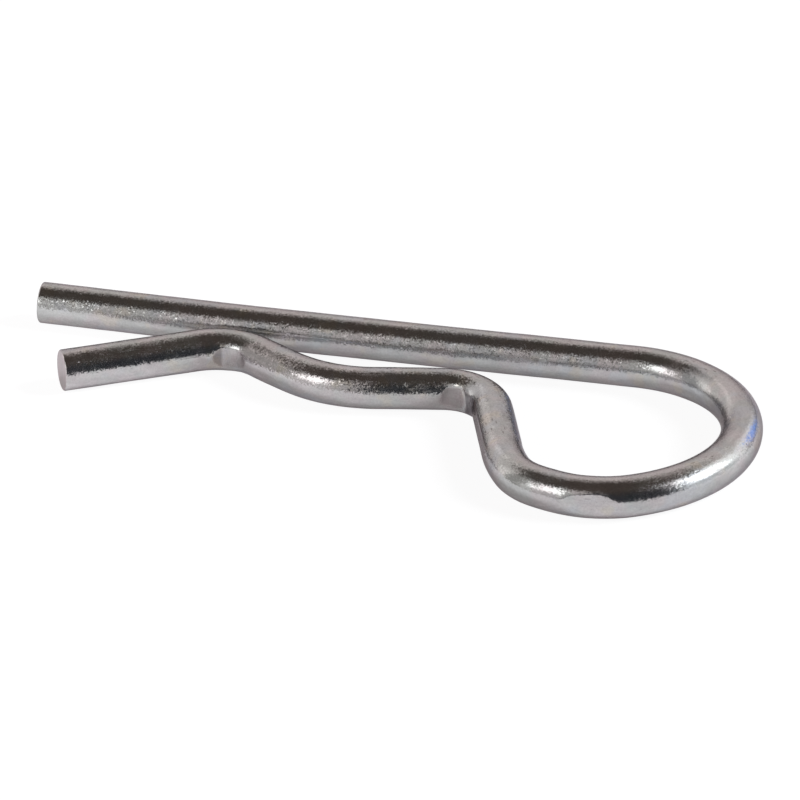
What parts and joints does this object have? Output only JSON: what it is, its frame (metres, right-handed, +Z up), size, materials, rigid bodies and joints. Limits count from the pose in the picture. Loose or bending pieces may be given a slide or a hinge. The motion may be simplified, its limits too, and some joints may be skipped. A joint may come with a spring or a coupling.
{
  "type": "hitch r clip pin",
  "caption": "R-shaped spring clip bent from round steel wire: a straight leg, an open loop and a gripping leg with a curved seat, a hump and a flared end.",
  "frame": {"origin": "middle of the clip's outline, at the surface it lies on", "axes": "+X along the straight leg towards the loop, +Y from the gripping leg towards the straight leg, +Z up through the wire, across the plane of the clip"},
  "size_m": [0.074, 0.0318, 0.004],
  "materials": {
    "zinc_wire": "bright zinc-plated spring steel wire, smooth with fine speckle, small pits and hairline scratches"
  },
  "bodies": {
    "root": {"r_clip": "zinc_wire"}
  },
  "joints": []
}
